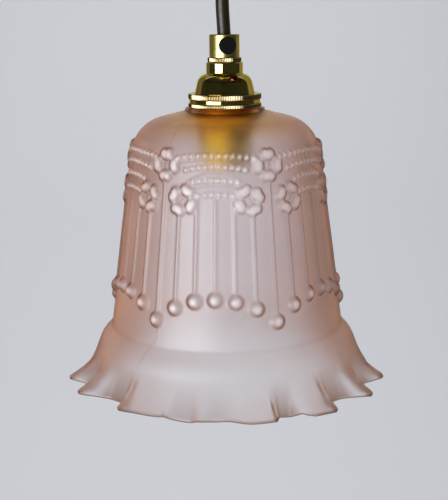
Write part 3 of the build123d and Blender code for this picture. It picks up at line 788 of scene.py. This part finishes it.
def dullMaterial(name, first, second, rough, metal=0.0, bump=0.1, coat=0.0, gloss=0.5):
    made, net, shader = startMaterial(name)
    blotch = noiseField(net, *plain["blotch"])
    net.links.new(tinted(net, blotch, first, second), shader.inputs["Base Color"])
    net.links.new(spread(net, noiseField(net, *plain["gloss"]), *rough), shader.inputs["Roughness"])
    shader.inputs["Metallic"].default_value = metal
    shader.inputs["Coat Weight"].default_value = coat
    shader.inputs["Specular IOR Level"].default_value = gloss
    bumped(net, shader, noiseField(net, *plain["grain"]), bump, plain["bumpDepth"])
    return made


finishes = {
    "polishedBrass": brassMaterial("polishedBrass", brass["polished"]),
    "satinBrass": brassMaterial("satinBrass", brass["satin"]),
    "knurledBrass": brassMaterial("knurledBrass", brass["polished"], "paleLight", "paleDark"),
    "dullBrass": brassMaterial("dullBrass", brass["dull"], "deepLight", "deepDark"),
    "litAmberBrass": brassMaterial("litAmberBrass", brass["dull"], "amberLight", "amberDark"),
    "redCopper": dullMaterial("redCopper", (0.24, 0.06, 0.045), (0.18, 0.045, 0.03), (0.22, 0.30), 1.0),
    "platedSteel": dullMaterial("platedSteel", (0.60, 0.60, 0.58), (0.50, 0.51, 0.50), (0.28, 0.42), 1.0),
    "springWire": dullMaterial("springWire", (0.42, 0.42, 0.42), (0.32, 0.32, 0.33), (0.25, 0.35), 1.0),
    "whiteNylon": dullMaterial("whiteNylon", (0.80, 0.79, 0.75), (0.74, 0.73, 0.69), (0.42, 0.55)),
    "blackNylon": dullMaterial("blackNylon", (0.002, 0.002, 0.003), (0.004, 0.004, 0.005), (0.50, 0.62),
                               gloss=0.2),
    "brownCore": dullMaterial("brownCore", (0.20, 0.09, 0.04), (0.16, 0.07, 0.03), (0.30, 0.40)),
    "blueCore": dullMaterial("blueCore", (0.05, 0.16, 0.45), (0.04, 0.13, 0.38), (0.30, 0.40)),
    "greenCore": dullMaterial("greenCore", (0.20, 0.42, 0.06), (0.17, 0.36, 0.05), (0.30, 0.40)),
    "porcelain": dullMaterial("porcelain", (0.84, 0.82, 0.77), (0.79, 0.77, 0.71), (0.12, 0.22), coat=0.5),
    "tanFibre": dullMaterial("tanFibre", (0.72, 0.45, 0.10), (0.62, 0.38, 0.08), (0.60, 0.75), bump=0.3),
    "flexSheath": sheath,
}
nodeFinish = {
    "ceiling_strap": "platedSteel", "rose_connector_block": "whiteNylon", "contact_block": "porcelain",
    "shade_washer": "tanFibre", "cap_earth_screw": "redCopper",
    "rose_grip_screw": "blackNylon", "holder_grip_screw": "blackNylon",
    "rose_cord_grip": "satinBrass", "holder_cord_grip": "satinBrass",
    "rose_flex_tail": "flexSheath", "holder_flex_tail": "flexSheath",
    "rose_live_core": "brownCore", "holder_live_core": "brownCore",
    "rose_neutral_core": "blueCore", "holder_neutral_core": "blueCore",
    "rose_earth_core": "greenCore", "holder_earth_core": "greenCore",
    "plunger_spring_left": "springWire", "plunger_spring_right": "springWire",
}
dressing = {"splitAngle": 28, "barrelEdge": 0.1}  # degrees; mm above the ring where the tube turns dull


def dressNodes():
    for name, obj in nodes.items():
        finish = finishes[nodeFinish.get(name, "polishedBrass")]
        obj.data.materials.clear()
        obj.data.materials.append(finish)
        obj.data.polygons.foreach_set("material_index", [0] * len(obj.data.polygons))
        obj.data.polygons.foreach_set("use_smooth", [True] * len(obj.data.polygons))
        split = obj.modifiers.new("crispEdges", "EDGE_SPLIT")
        split.split_angle = math.radians(dressing["splitAngle"])


def dullBarrel():
    # The barrel's flange is polished; the tube below it, inside the glass, is left dull
    mesh = nodes["holder_barrel"].data
    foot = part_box("upper_shade_ring")[1].z + dressing["barrelEdge"] * mm
    mesh.materials.append(finishes["dullBrass"])
    below = [int(max(mesh.vertices[v].co.z for v in face.vertices) < foot) for face in mesh.polygons]
    mesh.polygons.foreach_set("material_index", below)


dressNodes()
dullBarrel()
print("nodes dressed")

# Knurled rings, with finer teeth than the solids carry
rings = {
    "pitch": 0.87, "depth": 0.28, "samples": 8, "play": 0.04, "splitAngle": 40,
    "lip": 0.32, "brow": (0.06, 0.7, 0.4),   # the brow's setback, and its shares of the lip and the teeth
    "bores": {"cap_ring": 15.5, "upper_shade_ring": 14.05, "lower_shade_ring": 14.3,
              "holder_lock_ring": 5.05, "rose_lock_ring": 5.05},
    # the lower ring takes the painted-lit amber copy of the brass
    "finish": {"lower_shade_ring": "litAmberBrass"},
    "bodies": {"cap_ring": "lampholder", "upper_shade_ring": "lampholder",
               "lower_shade_ring": "shade_ring", "holder_lock_ring": "lampholder",
               "rose_lock_ring": "rose"},
}


def makeRing(node):
    low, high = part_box(node)
    outer = high.x / mm
    bottom, top = low.z / mm + rings["play"], high.z / mm - rings["play"]
    bore = rings["bores"][node]
    teeth = round(2 * math.pi * outer / rings["pitch"])
    turns = np.arange(teeth * rings["samples"]) * 360 / (teeth * rings["samples"])
    cut = rings["depth"] * (1 - np.cos(np.radians(turns * teeth))) / 2
    lip = rings["lip"]
    setback, rise, bite = rings["brow"]
    rows = [(bore, bottom, 0), (outer - lip, bottom, 0), (outer - setback, bottom + lip * rise, bite),
            (outer, bottom + lip, 1), (outer, top - lip, 1), (outer - setback, top - lip * rise, bite),
            (outer - lip, top, 0), (bore, top, 0)]  # radius, height, share of the teeth
    grid = np.array([turnAround(radius - cut * share, np.full(turns.size, height), turns)
                     for radius, height, share in reversed(rows)])
    obj = skin("knurled_" + node, grid)
    obj.data.materials.append(finishes[rings["finish"].get(node, "knurledBrass")])
    split = obj.modifiers.new("crispEdges", "EDGE_SPLIT")
    split.split_angle = math.radians(rings["splitAngle"])
    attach(obj, rings["bodies"][node])
    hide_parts(node)


for node in rings["bores"]:
    makeRing(node)
print("rings knurled")

# Plunger springs, which shorten when pressed; each is copied from its solid onto the lampholder
springs = {"travel": 4.5, "sides": ("left", "right")}


def makeSpring(side):
    node = "plunger_spring_" + side
    name = "plungerSpring" + side.title()
    obj = bpy.data.objects.new(name, nodes[node].data.copy())
    bpy.context.scene.collection.objects.link(obj)
    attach(obj, "lampholder")
    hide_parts(node)
    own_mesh(obj)


for side in springs["sides"]:
    makeSpring(side)
print("springs fitted")
